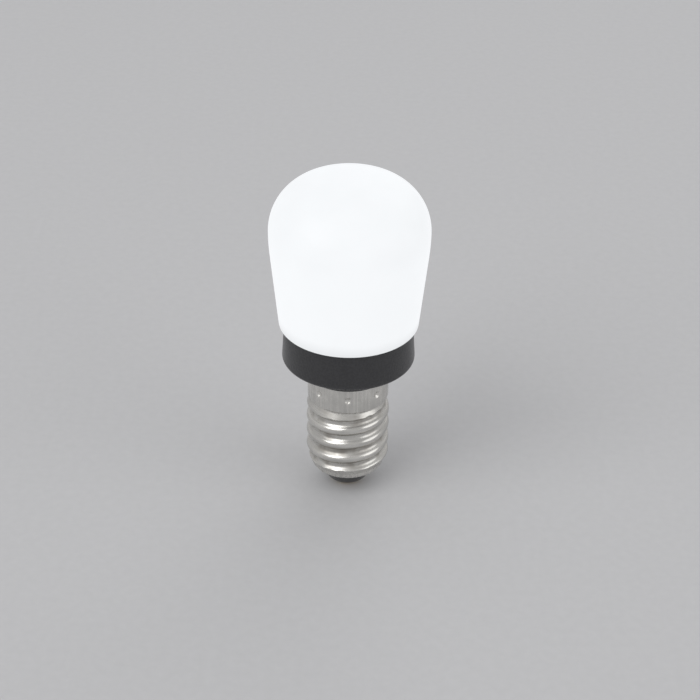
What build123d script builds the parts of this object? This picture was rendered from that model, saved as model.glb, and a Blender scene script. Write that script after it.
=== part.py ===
"""Small-screw LED fridge bulb: an opal cover glued to a dark moulded collar, over a rolled screw cap.

Millimetres, +Z up. The bulb's axis is Z, and the origin is the tip of the centre contact.
"""
import os
from math import atan2, cos, pi, sin

from build123d import *

# Opal cover: a drafted wall that leans outwards, bends upright and runs into a two-arc dome
cover_diameter = 26.0
cover_rim_diameter = 22.9
cover_wall_height = 16.9
cover_bend_tangent = 2.0
dome_height = 9.75
dome_crown_radius = 18.0
cover_rim_round = 0.35
cover_skin = 1.1

# Collar: the dark moulded housing, whose spigot plugs the cover and whose neck plugs the screw shell
collar_top_diameter = 21.2
collar_low_diameter = 22.0
collar_height = 6.65
collar_edge_round = 0.6
spigot_height = 3.0
spigot_chamfer = 0.5
neck_diameter = 14.6
neck_height = 2.5
neck_round = 0.8
glue_gap = 0.1

# Screw shell: sheet metal rolled to the round thread of a small-screw cap, with a plain skirt on top
thread_crest_diameter = 13.89
thread_root_diameter = 12.29
thread_pitch = 2.822
thread_turns = 4.4
thread_fade = 1.6
shell_sheet = 0.3
shell_mouth_diameter = 10.0
skirt_diameter = 13.5
skirt_height = 4.4
skirt_slope = 0.6
push_gap = 0.1

# Stakes: punch marks round the skirt that lock the shell into the neck
stake_count = 8
stake_diameter = 1.2
stake_depth = 0.35
stake_drop = 2.1

# Insulator: the black cone under the shell, which also fills the shell's rolled end
insulator_face_diameter = 6.6
insulator_cone_height = 2.5
insulator_plug_height = 3.2

# Centre contact: a domed pin pressed through the insulator
contact_diameter = 4.8
contact_height = 1.1
contact_crown = 0.45
contact_stem_diameter = 1.8

# Radii
cover_radius = cover_diameter / 2
rim_radius = cover_rim_diameter / 2
socket_radius = rim_radius - cover_skin
spigot_radius = socket_radius - glue_gap
collar_top_radius = collar_top_diameter / 2
collar_low_radius = collar_low_diameter / 2
neck_radius = neck_diameter / 2
crest_radius = thread_crest_diameter / 2
root_radius = thread_root_diameter / 2
skirt_radius = skirt_diameter / 2
mouth_radius = shell_mouth_diameter / 2
contact_radius = contact_diameter / 2
stem_radius = contact_stem_diameter / 2

# The wave's root arcs stop short of the root and dip a little into the tube that they are rolled from
root_dip = 0.03
root_stop = pi / 24
tube_radius = root_radius + root_dip
shell_roll = tube_radius - mouth_radius

# Heights, stacked up from the contact's tip
insulator_low = contact_height
shell_low = insulator_low + insulator_cone_height
plug_top = shell_low + insulator_plug_height
thread_low = shell_low + shell_roll
thread_high = thread_low + thread_turns * thread_pitch
skirt_low = thread_high + skirt_slope
shell_top = skirt_low + skirt_height
collar_low = shell_top + neck_height
collar_top = collar_low + collar_height
socket_top = collar_top + spigot_height + glue_gap
cover_widest = collar_top + cover_wall_height


def at(radius, height):
    """A point of an outline, in the plane of the axis."""
    return Vector(radius, 0, height)


def turned(outline):
    """Turn a closed outline about the bulb's axis."""
    return revolve(make_face(outline), axis=Axis.Z)


def rounded(section, corner, radius):
    """Round the one corner of a flat section that lies at the given point."""
    return fillet(section.vertices().sort_by_distance(corner)[0], radius)


def opal_cover():
    """The sealed opal cover, closed inside, with the socket that sits over the collar's spigot.

    The wall's straight lean turns upright at the widest point. From there a shoulder arc meets the
    crown arc smoothly, and its radius follows from the crown's.
    """
    widest = at(cover_radius, cover_widest)
    top = at(0, cover_widest + dome_height)
    rim = at(rim_radius, collar_top)
    knee = widest - at(0, cover_bend_tangent)
    bend_low = knee + (rim - knee).normalized() * cover_bend_tangent
    crown_centre = top - at(0, dome_crown_radius)
    shoulder_rise = 2 * dome_crown_radius * dome_height - cover_radius ** 2 - dome_height ** 2
    shoulder_radius = shoulder_rise / (2 * (dome_crown_radius - cover_radius))
    shoulder_centre = widest - at(shoulder_radius, 0)
    join = crown_centre + (shoulder_centre - crown_centre).normalized() * dome_crown_radius
    section = make_face([
        Polyline(
            at(0, socket_top), at(socket_radius, socket_top), at(socket_radius, collar_top),
            rim, bend_low,
        ),
        TangentArc(widest, bend_low, tangent=(0, 0, -1)),
        TangentArc(widest, join, tangent=(0, 0, 1)),
        TangentArc(top, join, tangent=(1, 0, 0)),
        Line(top, at(0, socket_top)),
    ])
    return revolve(rounded(section, rim, cover_rim_round), axis=Axis.Z)


def collar_housing():
    """The collar with its spigot and neck, moulded as one piece and closed inside."""
    tube_plug = tube_radius - shell_sheet - push_gap
    skirt_plug = skirt_radius - shell_sheet - push_gap
    spigot_top = collar_top + spigot_height
    outline = Polyline(
        at(0, plug_top),
        at(tube_plug, plug_top),
        at(tube_plug, thread_high),
        at(skirt_plug, skirt_low),
        at(skirt_plug, shell_top),
        at(neck_radius, shell_top),
        at(neck_radius, collar_low),
        at(collar_low_radius, collar_low),
        at(collar_top_radius, collar_top),
        at(spigot_radius, collar_top),
        at(spigot_radius, spigot_top),
        at(0, spigot_top),
        close=True,
    )
    section = make_face(outline)
    section = rounded(section, at(neck_radius, collar_low), neck_round)
    section = rounded(section, at(collar_low_radius, collar_low), collar_edge_round)
    housing = revolve(section, axis=Axis.Z)
    top_edge = housing.edges().group_by(Axis.Z)[-1]
    housing = chamfer(top_edge, spigot_chamfer)
    return housing - stake_balls(stake_roll() + shell_sheet + push_gap)


def wave_ridge(inset):
    """The helical ridge of the thread, whose outline is a crest arc between two root arcs.

    The inset is 0 for the outside of the sheet, and the sheet's thickness for its inside.
    """
    half = thread_pitch / 2
    depth = crest_radius - root_radius
    roll = (half ** 2 + depth ** 2) / (4 * depth)
    flank = atan2(half, 2 * roll - depth)
    start = thread_low - half

    def arc(centre, radius, first, last):
        turns = [first, (first + last) / 2, last]
        return ThreePointArc(*[centre + at(radius * cos(t), radius * sin(t)) for t in turns])

    crest = arc(at(crest_radius - roll, start), roll - inset, -flank, flank)
    above = arc(at(root_radius + roll, start + half), roll + inset, pi + flank, pi + root_stop)
    below = arc(at(root_radius + roll, start - half), roll + inset, pi - root_stop, pi - flank)
    back = root_radius - inset - shell_sheet / 2
    foot = Polyline(above @ 1, at(back, (above @ 1).Z), at(back, (below @ 0).Z), below @ 0)
    section = make_face([below, crest, above, foot])
    height = (thread_turns + 1) * thread_pitch
    path = Helix(pitch=thread_pitch, height=height, radius=root_radius, center=(0, 0, start))
    return sweep(section, path=path, is_frenet=True)


def rolled_end(inset):
    """The quarter arc of the shell's rolled end, from its mouth out to the tube."""
    roll = shell_roll - inset
    mouth = at(mouth_radius, shell_low + inset)
    half_way = at(mouth_radius + roll * sin(pi / 4), thread_low - roll * cos(pi / 4))
    return ThreePointArc(mouth, half_way, at(tube_radius - inset, thread_low))


def rolled_form(inset):
    """The solid form inside one face of the sheet: a tube with a rolled end, a thread and a skirt."""
    tube, skirt, low = tube_radius - inset, skirt_radius - inset, shell_low + inset
    body = turned([
        rolled_end(inset),
        Polyline(
            at(tube, thread_low), at(tube, thread_high), at(skirt, skirt_low),
            at(skirt, shell_top), at(0, shell_top), at(0, low), at(mouth_radius, low),
        ),
    ])
    hidden, clear = tube - root_dip, crest_radius - inset + root_dip
    fade = turned([
        Polyline(
            at(0, thread_low), at(hidden, thread_low), at(clear, thread_low + thread_fade),
            at(clear, thread_high - thread_fade), at(hidden, thread_high), at(0, thread_high),
            close=True,
        ),
    ])
    return body + (wave_ridge(inset) & fade)


def stake_roll():
    """Radius of the punch's ball, from the mark's width and depth."""
    half = stake_diameter / 2
    return (half ** 2 + stake_depth ** 2) / (2 * stake_depth)


def stake_balls(ball_radius):
    """Balls at the stakes round the skirt, all centred where the punch's ball was."""
    out = skirt_radius - stake_depth + stake_roll()
    spots = PolarLocations(out, stake_count)
    return [Pos(0, 0, shell_top - stake_drop) * spot * Sphere(ball_radius) for spot in spots]


def screw_shell():
    """The rolled shell: one sheet thickness all over, open at the mouth and the top, and staked."""
    outside = rolled_form(0)
    inside = rolled_form(shell_sheet)
    mouth = Pos(0, 0, shell_low) * Cylinder(mouth_radius, 3 * shell_sheet)
    dents = stake_balls(stake_roll())
    bumps = stake_balls(stake_roll() + shell_sheet)
    return outside - (inside - bumps) - mouth - dents


def cap_insulator():
    """The black insulator: a cone below the shell's mouth, and the plug that fills the rolled end."""
    plug_radius = tube_radius - shell_sheet
    return turned([
        rolled_end(shell_sheet),
        Polyline(
            at(plug_radius, thread_low),
            at(plug_radius, plug_top),
            at(stem_radius, plug_top),
            at(stem_radius, insulator_low),
            at(insulator_face_diameter / 2, insulator_low),
            at(mouth_radius, shell_low),
            at(mouth_radius, shell_low + shell_sheet),
        ),
    ])


def centre_contact():
    """The contact pin: a domed head under the insulator, and a stem through it."""
    crown_edge = at(contact_radius, contact_crown)
    crown_radius = (contact_radius ** 2 + contact_crown ** 2) / (2 * contact_crown)
    half_turn = atan2(contact_radius, crown_radius - contact_crown) / 2
    crown_half = at(crown_radius * sin(half_turn), crown_radius * (1 - cos(half_turn)))
    return turned([
        ThreePointArc(at(0, 0), crown_half, crown_edge),
        Polyline(
            crown_edge, at(contact_radius, contact_height), at(stem_radius, contact_height),
            at(stem_radius, plug_top), at(0, plug_top), at(0, 0),
        ),
    ])


bulb = {
    "opal_cover": opal_cover(),
    "collar_housing": collar_housing(),
    "screw_shell": screw_shell(),
    "cap_insulator": cap_insulator(),
    "centre_contact": centre_contact(),
}

os.makedirs("parts", exist_ok=True)
for node, solid in bulb.items():
    export_step(solid, f"parts/{node}.step")
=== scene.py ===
"""Looks of a lit small-screw LED fridge bulb: an opal cover, a dark collar and a rolled metal cap."""
import math

import bpy
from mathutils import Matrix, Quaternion, Vector


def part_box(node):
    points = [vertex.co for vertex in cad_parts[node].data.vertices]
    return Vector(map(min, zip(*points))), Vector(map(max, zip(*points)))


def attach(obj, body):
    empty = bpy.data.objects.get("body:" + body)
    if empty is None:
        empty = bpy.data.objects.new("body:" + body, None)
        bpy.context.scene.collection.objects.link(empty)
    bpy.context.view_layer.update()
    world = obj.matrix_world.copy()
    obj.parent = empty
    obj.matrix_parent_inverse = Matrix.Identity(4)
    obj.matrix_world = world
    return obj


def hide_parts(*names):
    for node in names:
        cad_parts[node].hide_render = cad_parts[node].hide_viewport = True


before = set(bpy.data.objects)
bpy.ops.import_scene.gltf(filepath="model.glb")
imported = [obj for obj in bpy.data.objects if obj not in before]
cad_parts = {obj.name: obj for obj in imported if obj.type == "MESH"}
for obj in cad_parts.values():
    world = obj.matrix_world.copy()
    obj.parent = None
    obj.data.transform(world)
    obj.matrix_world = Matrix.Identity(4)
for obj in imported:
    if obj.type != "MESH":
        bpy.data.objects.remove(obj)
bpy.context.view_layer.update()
MM = 0.001

# Opal cover: injection-moulded polycarbonate, milky right through, lit evenly from inside by the
# LEDs at its foot. It is pushed over the collar's spigot and glued. Its wall leans out to a knee,
# and from there a shoulder arc runs into a flatter crown arc.


class Wire:
    """An output socket. Arithmetic on it adds Math nodes, and node() adds a node of any other kind."""

    def __init__(self, socket):
        self.socket = socket

    @staticmethod
    def node(tree, kind, settings=None, sockets=None):
        """Adds a node with these settings and socket values or links, and returns its first output."""
        made = tree.nodes.new(kind)
        for name, value in (settings or {}).items():
            setattr(made, name, value)
        for name, value in (sockets or {}).items():
            if isinstance(value, Wire):
                tree.links.new(value.socket, made.inputs[name])
            else:
                made.inputs[name].default_value = value
        return Wire(made.outputs[0]) if made.outputs else None

    def at(self, name):
        """Another output of the same node."""
        return Wire(self.socket.node.outputs[name])

    def math(self, operation, *others):
        """A Math node on this output and the others, which are numbers or outputs."""
        values = dict(enumerate([self, *others]))
        return Wire.node(self.socket.id_data, "ShaderNodeMath", {"operation": operation}, values)

    def __add__(self, other):
        return self.math("ADD", other)

    def __sub__(self, other):
        return self.math("SUBTRACT", other)

    def __rsub__(self, other):
        return self * -1 + other

    def __mul__(self, other):
        return self.math("MULTIPLY", other)

    def __truediv__(self, other):
        return self.math("DIVIDE", other)

    def __pow__(self, other):
        return self.math("POWER", other)

    def __gt__(self, other):
        return self.math("GREATER_THAN", other)

    def __lt__(self, other):
        return self.math("LESS_THAN", other)

    __radd__, __rmul__ = __add__, __mul__

    def ramp(self, start, end, kind="SMOOTHSTEP"):
        """0 at start and below, 1 at end and above, and eased between them, or straight if LINEAR."""
        sockets = {"Value": self, "From Min": start, "From Max": end}
        settings = {"interpolation_type": kind, "clamp": True}
        return Wire.node(self.socket.id_data, "ShaderNodeMapRange", settings, sockets)

    def mix(self, low, high):
        """The low colour where this is 0 and the high one where it is 1."""
        # The Mix node has its sockets once for each data type, so the colour ones go by number
        factor, first, second, result = 0, 6, 7, 2
        low, high = (c if isinstance(c, Wire) else (*c, 1.0) for c in (low, high))
        sockets = {factor: self, first: low, second: high}
        mixed = Wire.node(self.socket.id_data, "ShaderNodeMix", {"data_type": "RGBA"}, sockets)
        return mixed.at(result)


def new_material(name):
    """A material with an empty node tree, and that tree."""
    made = bpy.data.materials.new(name)
    made.use_nodes = True
    made.node_tree.nodes.clear()
    return made, made.node_tree


def on_piece(tree):
    """The piece's own coordinates, in metres."""
    return Wire.node(tree, "ShaderNodeTexCoord").at("Object")


def split(place):
    """The X part of a vector, whose Y and Z parts are this output's at("Y") and at("Z")."""
    return Wire.node(place.socket.id_data, "ShaderNodeSeparateXYZ", None, {"Vector": place})


def height_of(place):
    """Height above the contact's tip, in millimetres."""
    return split(place).at("Z") / MM


def radius_of(place):
    """Distance from the bulb's axis, in millimetres."""
    x = split(place)
    y = x.at("Y")
    return (x * x + y * y) ** 0.5 / MM


def noise(place, grain, detail=2.0, stretch=(1, 1, 1)):
    """Noise whose grains are that many millimetres across, times the stretch along each axis."""
    tree = place.socket.id_data
    scale = [1 / (grain * MM * s) for s in stretch]
    moved = Wire.node(tree, "ShaderNodeMapping", None, {"Vector": place, "Scale": scale})
    sockets = {"Vector": moved, "Scale": 1.0, "Detail": detail}
    return Wire.node(tree, "ShaderNodeTexNoise", None, sockets)


def bump(height, depth, over=None):
    """A normal that is raised by height, from 0 to 1, to that depth in millimetres."""
    sockets = {"Height": height, "Distance": depth * MM, "Strength": 1.0}
    if over:
        sockets["Normal"] = over
    return Wire.node(height.socket.id_data, "ShaderNodeBump", None, sockets)


def surface(tree, sockets):
    """The Principled shader with these values and links, at the material's output."""
    shader = Wire.node(tree, "ShaderNodeBsdfPrincipled", None, sockets)
    Wire.node(tree, "ShaderNodeOutputMaterial", None, {"Surface": shader})


def new_shaping(name, sizes):
    """A geometry tree that takes a blank and the named sizes, and its input, where at() finds each."""
    tree = bpy.data.node_groups.new(name, "GeometryNodeTree")
    tree.interface.new_socket("Blank", in_out="INPUT", socket_type="NodeSocketGeometry")
    for size in sizes:
        tree.interface.new_socket(size, in_out="INPUT", socket_type="NodeSocketFloat")
    tree.interface.new_socket("Piece", in_out="OUTPUT", socket_type="NodeSocketGeometry")
    return tree, Wire.node(tree, "NodeGroupInput")


def moved_to(geometry, across, turn, up, material):
    """Ends a geometry tree: points go to their radius, turn and height, and the piece is finished.

    Radius and height are in millimetres. Points that meet are merged, at the axis and the seam.
    """
    tree = across.socket.id_data
    sockets = {
        "X": across * turn.math("COSINE") * MM,
        "Y": across * turn.math("SINE") * MM,
        "Z": up * MM,
    }
    place = Wire.node(tree, "ShaderNodeCombineXYZ", None, sockets)
    steps = [
        ("GeometryNodeSetPosition", {"Position": place}),
        ("GeometryNodeMergeByDistance", {"Distance": 0.001 * MM}),
        ("GeometryNodeRealizeInstances", {}),
        ("GeometryNodeSetMaterial", {"Material": material}),
    ]
    for kind, sockets in steps:
        geometry = Wire.node(tree, kind, None, {"Geometry": geometry, **sockets})
    Wire.node(tree, "NodeGroupOutput", None, {"Piece": geometry})


def shaped(blank, tree, sizes):
    """Runs a geometry tree on a blank mesh at the given sizes, and returns a plain mesh."""
    maker = bpy.data.objects.new(tree.name, blank)
    bpy.context.collection.objects.link(maker)
    modifier = maker.modifiers.new(tree.name, "NODES")
    modifier.node_group = tree
    for socket in tree.interface.items_tree:
        if socket.name in sizes:
            modifier[socket.identifier] = sizes[socket.name]
    bpy.context.view_layer.update()
    made = maker.evaluated_get(bpy.context.evaluated_depsgraph_get())
    mesh = bpy.data.meshes.new_from_object(made)
    maker.modifiers.remove(modifier)
    bpy.data.objects.remove(maker)
    return mesh


def fitted(mesh, node, sharp=35):
    """Puts a finished mesh in the scene as the piece that stands for its CAD node.

    Edges that turn by more than the sharp angle, in degrees, stay sharp.
    """
    mesh.shade_smooth()
    mesh.set_sharp_from_angle(angle=math.radians(sharp))
    made = bpy.data.objects.new(node + "_piece", mesh)
    bpy.context.collection.objects.link(made)
    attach(made, "root")
    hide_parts(node)


def heading(angle):
    """Cosine and sine of an angle that is a number or an output."""
    if isinstance(angle, Wire):
        return angle.math("COSINE"), angle.math("SINE")
    return math.cos(angle), math.sin(angle)


def ends(node):
    """Lowest and highest point of a CAD node, in millimetres."""
    low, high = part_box(node)
    return low.z / MM, high.z / MM


cover_foot = ends("opal_cover")[0]
cover_radius, rim_radius, rim_round = 13.0, 11.45, 0.35
socket_radius, socket_depth = 10.35, 3.1
wall_height, bend_tangent = 16.9, 2.0
dome_height, crown_radius = 9.75, 18.0
wall_lean = math.atan2(cover_radius - rim_radius, wall_height - bend_tangent)
rim_tangent = rim_round * math.tan(math.pi / 4 - wall_lean / 2)
shoulder_radius = ((2 * crown_radius * dome_height - cover_radius ** 2 - dome_height ** 2)
                   / (2 * (crown_radius - cover_radius)))
cover_sizes = {
    "Foot height": cover_foot,
    "Socket radius": socket_radius,
    "Socket depth": socket_depth,
    "Rim width": rim_radius - socket_radius - rim_tangent,
    "Rim round": rim_round,
    "Wall length": (wall_height - bend_tangent) / math.cos(wall_lean) - bend_tangent - rim_tangent,
    "Wall lean": wall_lean,
    "Knee radius": bend_tangent / math.tan(wall_lean / 2),
    "Shoulder radius": shoulder_radius,
    "Shoulder turn": math.atan2(crown_radius - dome_height, cover_radius - shoulder_radius),
    "Crown radius": crown_radius,
}

# The glow is weaker where the dark spigot stands behind the wall. Towards the crown it is turned down
# a little, painted shade that evens out the lamps' light from above
milk_dark, milk_light = (0.28, 0.29, 0.30), (0.32, 0.33, 0.34)
unlit, daylight = (0.0, 0.0, 0.0), (0.970, 0.987, 1.0)
opal, tree = new_material("opal_plastic")
place = on_piece(tree)
height = height_of(place)
cloud = noise(place, 5.0, detail=3.0)
above_spigot = height.ramp(cover_foot - 0.6, cover_foot + 3.2)
# Painted shade: less glow towards the crown, where the lamps fall on it from above
crown_painted_shade = height.ramp(cover_foot + 7.0, cover_foot + 27.0)
glow = above_spigot * 0.20 - crown_painted_shade * 0.10 + cloud * 0.03 + 0.815
surface(tree, {
    "Base Color": cloud.mix(milk_dark, milk_light),
    "Roughness": noise(place, 1.2) * 0.10 + 0.52,
    "IOR": 1.52,
    "Emission Color": glow.mix(unlit, daylight),
    "Emission Strength": 0.73,
    "Normal": bump(noise(place, 0.7, detail=3.0), 0.004),
})

# The section's strokes, from the middle of the socket's ceiling round to the top of the crown: rows,
# length or radius, and the angle of the surface's normal at both ends. A stroke that has no second
# angle is straight, and runs a quarter turn left of its normal.
cover_tree, size = new_shaping("cover_moulding", cover_sizes)
downward, outward, upward = -math.pi / 2, 0.0, math.pi / 2
lean = size.at("Wall lean") * -1
shoulder_turn = size.at("Shoulder turn")
strokes = [
    (2, size.at("Socket radius"), downward, None),
    (3, size.at("Socket depth") * -1, outward, None),
    (1, size.at("Rim width"), downward, None),
    (6, size.at("Rim round"), downward, lean),
    (20, size.at("Wall length"), lean, None),
    (8, size.at("Knee radius"), lean, outward),
    (24, size.at("Shoulder radius"), outward, shoulder_turn),
    (20, size.at("Crown radius"), shoulder_turn, upward),
]
rows, steps = sum(stroke[0] for stroke in strokes), 240
sheet = Wire.node(cover_tree, "GeometryNodeMeshGrid", None, {
    "Size X": 1.0,
    "Size Y": float(rows),
    "Vertices X": steps + 1,
    "Vertices Y": rows + 1,
})
spot = split(Wire.node(cover_tree, "GeometryNodeInputPosition"))
turn = (spot + 0.5) * math.tau
row, done = spot.at("Y") + rows / 2, 0
across, up = row * 0.0, size.at("Foot height") + size.at("Socket depth")
for count, length, first, last in strokes:
    share = row.ramp(done, done + count, "LINEAR")
    start = heading(first)
    if last is None:
        across = across - share * length * start[1]
        up = up + share * length * start[0]
    else:
        now = heading(share * (last - first) + first)
        across = across + (now[0] - start[0]) * length
        up = up + (now[1] - start[1]) * length
    done += count
moved_to(sheet, across, turn, up, opal)
blank = bpy.data.meshes.new("cover_blank")
fitted(shaped(blank, cover_tree, cover_sizes), "opal_cover")

# Collar housing: one dark moulding, a short collar with a rounded lower edge, a spigot that plugs the
# cover and a neck that plugs the screw shell. Its tool was spark-eroded, which leaves the plastic
# finely pebbled, and handling has polished the rounded edge. The pebbles' tops are painted a little
# lighter, painted light on the grain, and the rounded edge is painted lighter, a painted highlight.


def outline(corners):
    """Points of a turned outline from corners in millimetres: radius, height and edge round."""
    points, round_steps = [], 7
    for i, (radius, height, edge) in enumerate(corners):
        here = Vector((radius, height))
        if not edge:
            points.append(here)
            continue
        before = (Vector(corners[i - 1][:2]) - here).normalized()
        after = (Vector(corners[(i + 1) % len(corners)][:2]) - here).normalized()
        half = before.angle(after) / 2
        centre = here + (before + after).normalized() * edge / math.sin(half)
        start = (here + before * edge / math.tan(half) - centre) / edge
        end = (here + after * edge / math.tan(half) - centre) / edge
        points += [centre + start.slerp(end, k / round_steps) * edge for k in range(round_steps + 1)]
    return points


def turned(name, points, steps, material):
    """A mesh turned from an outline in millimetres. It has poles on the axis, or closes to a ring."""
    verts, faces, rings = [], [], []
    for radius, height in points:
        count = steps if radius else 1
        rings.append(range(len(verts), len(verts) + count))
        for k in range(count):
            turn = math.tau * k / steps
            verts.append(Vector((radius * math.cos(turn), radius * math.sin(turn), height)) * MM)
    closing = rings[:1] if len(rings[0]) > 1 else []
    for low, high in zip(rings, rings[1:] + closing):
        for k in range(steps):
            corners = [low[k % len(low)], low[(k + 1) % len(low)],
                       high[(k + 1) % len(high)], high[k % len(high)]]
            faces.append(list(dict.fromkeys(corners)))
    mesh = bpy.data.meshes.new(name)
    mesh.from_pydata(verts, [], faces)
    mesh.materials.append(material)
    return mesh


# Heights step down from the cover's foot: the collar, the neck, the shell's skirt and its slope
collar_height, neck_height, skirt_height, skirt_slope = 6.65, 2.5, 4.4, 0.6
collar_top = cover_foot
collar_low = collar_top - collar_height
shell_top = collar_low - neck_height
skirt_low = shell_top - skirt_height
thread_high = skirt_low - skirt_slope
plug_foot, spigot_top = ends("collar_housing")
top_radius, low_radius, neck_radius = 10.6, 11.0, 7.3
spigot_radius, skirt_plug_radius, tube_plug_radius = 10.25, 6.35, 5.775

# The lighter grey is painted light: on the pebbles' tops, and a painted highlight along the rubbed
# lower edge, whose smoother finish is real wear
dark_grey, rubbed_and_highlight_grey = (0.026, 0.026, 0.028), (0.058, 0.058, 0.061)
dark, tree = new_material("dark_plastic")
place = on_piece(tree)
height, radius = height_of(place), radius_of(place)
# The pebble pattern shapes the grain and also paints its raised tops a little lighter, painted light
pebble_and_painted_light = noise(place, 0.32, detail=1.0).ramp(0.30, 0.70)
patch = noise(place, 3.5, detail=3.0)
low_edge = 1 - height.ramp(collar_low, collar_low + 0.9)
worn_edge_and_highlight = low_edge * radius.ramp(low_radius - 1.2, low_radius - 0.3) * (patch * 0.6 + 0.4)
surface(tree, {
    "Base Color": (pebble_and_painted_light * 0.30 + worn_edge_and_highlight * 0.70).mix(dark_grey, rubbed_and_highlight_grey),
    "Roughness": patch * 0.10 - pebble_and_painted_light * 0.06 - worn_edge_and_highlight * 0.10 + 0.30,
    "IOR": 1.5,
    "Normal": bump(pebble_and_painted_light * (1 - worn_edge_and_highlight * 0.8), 0.010),
})

collar = outline([
    (0.0, plug_foot, 0),
    (tube_plug_radius, plug_foot, 0.3),
    (tube_plug_radius, thread_high, 0),
    (skirt_plug_radius, skirt_low, 0),
    (skirt_plug_radius, shell_top, 0),
    (neck_radius, shell_top, 0.25),
    (neck_radius, collar_low, 0.8),
    (low_radius, collar_low, 0.6),
    (top_radius, collar_top, 0.12),
    (spigot_radius, collar_top, 0),
    (spigot_radius, spigot_top, 0.5),
    (0.0, spigot_top, 0),
])
housing = turned("collar_housing", collar, steps=192, material=dark)
fitted(housing, "collar_housing")

# Screw shell: one piece of nickel-plated sheet, drawn to a tube with a rolled-in mouth and a wider
# skirt. The thread is then rolled into it, its crest and root arcs running tangent into each other,
# and eight punch marks round the skirt lock it to the neck.

sheet_thickness = 0.3
tube_radius, skirt_radius, mouth_radius = 6.175, 6.75, 5.0
crest_radius, root_radius = 6.945, 6.145
thread_pitch, thread_turns = 2.822, 4.4
thread_low = thread_high - thread_turns * thread_pitch
stake_height, stake_reach = shell_top - 2.1, 0.9


def spread(first, last, count):
    """Evenly spaced values from first to last, without the last."""
    return [first + (last - first) * k / count for k in range(count)]


def rolled_end(inset, rows):
    """Points on the quarter arc from the shell's mouth out to its tube, in millimetres."""
    roll = tube_radius - mouth_radius - inset
    return [(mouth_radius + roll * math.sin(t), thread_low - roll * math.cos(t))
            for t in spread(0.0, math.pi / 2, rows)]


def sheet_face(inset):
    """Points up one face of the sheet, from the mouth to the skirt's top edge, in millimetres."""
    tube, skirt = tube_radius - inset, skirt_radius - inset
    stake_low, stake_high = stake_height - stake_reach, stake_height + stake_reach
    points = rolled_end(inset, 10)
    points += [(tube, height) for height in spread(thread_low, thread_high, 112)]
    points += [(tube + (skirt - tube) * (1 - math.cos(math.pi * share)) / 2,
                thread_high + (skirt_low - thread_high) * share) for share in spread(0.0, 1.0, 6)]
    points += [(skirt, height) for height in spread(skirt_low, stake_low, 2)]
    points += [(skirt, height) for height in spread(stake_low, stake_high, 16)]
    points += [(skirt, stake_high), (skirt, shell_top)]
    return points


# Streaks run up the skirt and round the thread. The roots are darker and rougher in patches, and the
# crests are rubbed.
dull_nickel, bright_nickel, root_patch_tone = (0.56, 0.55, 0.525), (0.74, 0.725, 0.69), (0.34, 0.32, 0.29)
nickel, tree = new_material("nickel_plate")
place = on_piece(tree)
height, radius = height_of(place), radius_of(place)
rolled = radius.ramp(root_radius + 0.005, crest_radius - 0.005)
above_roll = height.ramp(thread_low, thread_low + 1.0)
threaded = above_roll * (1 - height.ramp(thread_high - 0.6, thread_high + 0.2))
drawn = noise(place, 0.30, detail=3.0, stretch=(1, 1, 40))
rings = noise(place, 0.35, detail=3.0, stretch=(30, 30, 1))
streaks = drawn + (rings - drawn) * threaded
smudge = noise(place, 2.4, detail=4.0)
tint = (smudge * 0.5 + streaks * 0.5).ramp(0.30, 0.70)
root_patches = smudge.ramp(0.35, 0.75) * (1 - rolled) * threaded
rubbed = rolled.ramp(0.75, 1.0) * threaded
surface(tree, {
    "Base Color": root_patches.mix(tint.mix(dull_nickel, bright_nickel), root_patch_tone),
    "Metallic": 1.0,
    "Roughness": streaks * 0.20 + smudge * 0.10 + root_patches * 0.18 - rubbed * 0.07 + 0.11,
    "Normal": bump(streaks, 0.004, bump(noise(place, 0.9), 0.005)),
})

shell_sizes = {
    "Pitch": thread_pitch,
    "Crest radius": crest_radius,
    "Root radius": root_radius,
    "Thread low": thread_low,
    "Thread high": thread_high,
    "Fade": 1.6,
    "Root dip": tube_radius - root_radius,
    "Stakes": 8.0,
    "Stake height": stake_height,
    "Stake width": 1.2,
    "Stake depth": 0.35,
    "Stake blend": 0.16,
    "Skirt radius": skirt_radius,
}
shell_tree, size = new_shaping("thread_rolling", shell_sizes)
position = Wire.node(shell_tree, "GeometryNodeInputPosition")
spot = split(position)
up, flat, turn = height_of(position), radius_of(position), spot.at("Y").math("ARCTAN2", spot)
number = {"data_type": "FLOAT"}
inset = Wire.node(shell_tree, "GeometryNodeInputNamedAttribute", number, {"Name": "inset"})

# The wave at a point: its distance from the nearest crest, and the crest arc or the root arc there
pitch, crest, root = size.at("Pitch"), size.at("Crest radius"), size.at("Root radius")
half, depth = pitch / 2, crest - root
roll = (half * half + depth * depth) / (depth * 4)
phase = (up - size.at("Thread low") + half) / pitch - turn / math.tau
gap = phase.math("WRAP", 0.5, -0.5).math("ABSOLUTE") * pitch
crest_roll, root_roll = roll - inset, roll + inset
crest_arc = crest - roll + (crest_roll * crest_roll - gap * gap).math("MAXIMUM", 0.0) ** 0.5
from_root = half - gap
root_arc = root + roll - (root_roll * root_roll - from_root * from_root).math("MAXIMUM", 0.0) ** 0.5
on_crest = gap < crest_roll * half / (roll * 2)
wave = root_arc + (crest_arc - root_arc) * on_crest

# The wave fades into the tube at both ends of the thread
into = (up - size.at("Thread low")).math("MINIMUM", size.at("Thread high") - up)
fade = root - inset + (depth + size.at("Root dip")) * (into / size.at("Fade"))
ridge = wave.math("MINIMUM", fade) * (into > 0.0)
body = flat.math("MAXIMUM", ridge)

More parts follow.
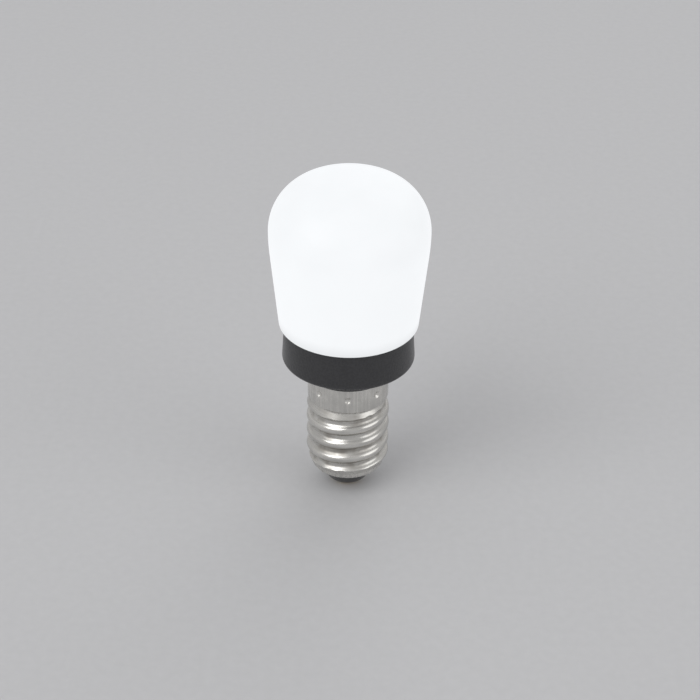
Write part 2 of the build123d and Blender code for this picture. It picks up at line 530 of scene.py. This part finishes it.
# The punch's ball at the nearest stake, and the dent that it leaves
stake, stake_half = size.at("Stake depth"), size.at("Stake width") / 2
punch = (stake_half * stake_half + stake * stake) / (stake * 2)
out = size.at("Skirt radius") - stake + punch
stakes = size.at("Stakes")
aside = (turn * stakes / math.tau).math("WRAP", 0.5, -0.5) * math.tau / stakes
offset = aside.math("SINE") * out
drop = up - size.at("Stake height")
ball = (punch + inset) * (punch + inset) - offset * offset - drop * drop
dent = out * aside.math("COSINE") - ball.math("MAXIMUM", 0.0) ** 0.5 + (ball < 0.0)
final = body.math("SMOOTH_MIN", dent, size.at("Stake blend"))
moved_to(size.at("Blank"), final, turn, up, nickel)

steps = 240
outer, inner = sheet_face(0.0), sheet_face(sheet_thickness)
blank = turned("shell_blank", outer + inner[::-1], steps, nickel)
insets = [0.0] * len(outer) * steps + [sheet_thickness] * len(inner) * steps
blank.attributes.new("inset", "FLOAT", "POINT").data.foreach_set("value", insets)
fitted(shaped(blank, shell_tree, shell_sizes), "screw_shell", sharp=50)

# Cap insulator: black moulded glass-hard resin. It fills the rolled end from inside and shows below it
# as a cone with a small flat face, smooth and a little shiny, with faint flow marks round it.

resin_black, dust_grey = (0.012, 0.012, 0.013), (0.045, 0.043, 0.040)
black, tree = new_material("black_insulator")
place = on_piece(tree)
flow = noise(place, 0.8, detail=4.0, stretch=(3, 3, 1))
dust = noise(place, 0.25, detail=2.0).ramp(0.60, 0.80)
surface(tree, {
    "Base Color": dust.mix(resin_black, dust_grey),
    "Roughness": flow * 0.14 + dust * 0.15 + 0.14,
    "IOR": 1.55,
    "Normal": bump(flow, 0.012),
})

insulator_low, plug_top = ends("cap_insulator")
shell_low = thread_low - (tube_radius - mouth_radius)
plug_radius, face_radius, stem_radius = tube_radius - sheet_thickness, 3.3, 0.9
cone = outline([
    (stem_radius, plug_top, 0),
    (stem_radius, insulator_low, 0),
    (face_radius, insulator_low, 0.25),
    (mouth_radius, shell_low, 0.06),
])
plug = [(plug_radius, thread_low), (plug_radius, plug_top)]
outside = cone + rolled_end(sheet_thickness, 8) + plug
insulator = turned("cap_insulator", outside, steps=144, material=black)
fitted(insulator, "cap_insulator")

# Centre contact: a brass pin with a low domed head, turned, and pressed through the insulator. The
# lathe leaves fine rings on it, and the brass has begun to tarnish towards the edge.

fresh_brass, tarnished_brass = (0.78, 0.60, 0.31), (0.42, 0.29, 0.14)
head_radius, crown_height, lathe_feed = 2.4, 0.45, 0.1496
brass, tree = new_material("contact_metal")
place = on_piece(tree)
radius = radius_of(place)
tool_marks = (radius * (math.tau / lathe_feed)).math("SINE") * 0.5 + 0.5
stain = noise(place, 0.9, detail=4.0)
tarnish = stain.ramp(0.4, 0.8) * radius.ramp(0.6, head_radius)
surface(tree, {
    "Base Color": tarnish.mix(fresh_brass, tarnished_brass),
    "Metallic": 1.0,
    "Roughness": tarnish * 0.22 + stain * 0.08 + 0.20,
    "Normal": bump(tool_marks, 0.002),
})

# The outline's first point only gives the edge round its direction, and is dropped
crown = (head_radius ** 2 + crown_height ** 2) / (2 * crown_height)
dome = [(crown * math.sin(t), crown * (1 - math.cos(t)))
        for t in spread(0.0, math.asin(head_radius / crown), 12)]
head = outline([
    (2.2, 0.34, 0),
    (head_radius, crown_height, 0.10),
    (head_radius, insulator_low, 0.08),
    (stem_radius, insulator_low, 0),
])[1:]
stem = [(stem_radius, plug_top), (0.0, plug_top)]
contact = turned("centre_contact", dome + head + stem, steps=144, material=brass)
fitted(contact, "centre_contact")

# Studio: a pale matt floor under the contact's tip, a soft key lamp from the upper left, a weaker
# fill from the right and a rim lamp behind. The camera looks down by 32 degrees, and is turned a
# little about its line of sight.

paper_dark, paper_light = (0.58, 0.58, 0.585), (0.63, 0.63, 0.635)
paper, tree = new_material("floor_paper")
place = on_piece(tree)
fibre = noise(place, 1.5, detail=4.0)
surface(tree, {
    "Base Color": fibre.mix(paper_dark, paper_light),
    "Roughness": 0.75,
    "Normal": bump(fibre, 0.03),
})
floor_half = 3.0
corners = [(x * floor_half, y * floor_half, 0) for x, y in ((-1, -1), (1, -1), (1, 1), (-1, 1))]
ground = bpy.data.meshes.new("floor")
ground.from_pydata(corners, [], [(0, 1, 2, 3)])
ground.materials.append(paper)
floor = bpy.data.objects.new("floor", ground)
bpy.context.collection.objects.link(floor)

middle = Vector((0.0, 0.0, 30.0)) * MM
lamp_width = 1.6
lamps = [
    ("key", (-1.05, -0.95, 1.35), 12.5),
    ("fill", (1.50, -0.80, 0.80), 5.5),
    ("rim", (0.60, 1.50, 1.00), 4.5),
]
for name, spot, watts in lamps:
    lamp = bpy.data.lights.new(name, "AREA")
    lamp.shape, lamp.size, lamp.energy = "DISK", lamp_width, watts
    made = bpy.data.objects.new(name, lamp)
    made.location = spot
    made.rotation_euler = (middle - Vector(spot)).to_track_quat("-Z", "Y").to_euler()
    bpy.context.collection.objects.link(made)

room_light, room_seen = (0.50, 0.50, 0.51), (0.58, 0.58, 0.585)
world = bpy.data.worlds.new("studio")
world.use_nodes = True
world.node_tree.nodes.clear()
tree = world.node_tree
ray = Wire.node(tree, "ShaderNodeLightPath")
seen = ray.at("Is Camera Ray")
for kind in ("Is Glossy Ray", "Is Transmission Ray"):
    seen = seen.math("MAXIMUM", ray.at(kind))
room = {"Color": seen.mix(room_light, room_seen), "Strength": 1.0}
background = Wire.node(tree, "ShaderNodeBackground", None, room)
Wire.node(tree, "ShaderNodeOutputWorld", None, {"Surface": background})
bpy.context.scene.world = world
bpy.context.scene.view_settings.view_transform = "Standard"

lens = bpy.data.cameras.new("camera")
lens.lens, lens.sensor_width = 94.2, 36.0
camera = bpy.data.objects.new("camera", lens)
camera.location = (0.0, -0.2570, 0.1861)
aim_aside, aim_drop, tilt = 0.26, 5.54, 0.65
aim = Vector((aim_aside, 0.0, collar_top - aim_drop)) * MM
camera_roll = Quaternion((0, 0, 1), math.radians(tilt))
line_of_sight = (aim - camera.location).to_track_quat("-Z", "Y")
camera.rotation_euler = (line_of_sight @ camera_roll).to_euler()
bpy.context.collection.objects.link(camera)
bpy.context.scene.camera = camera
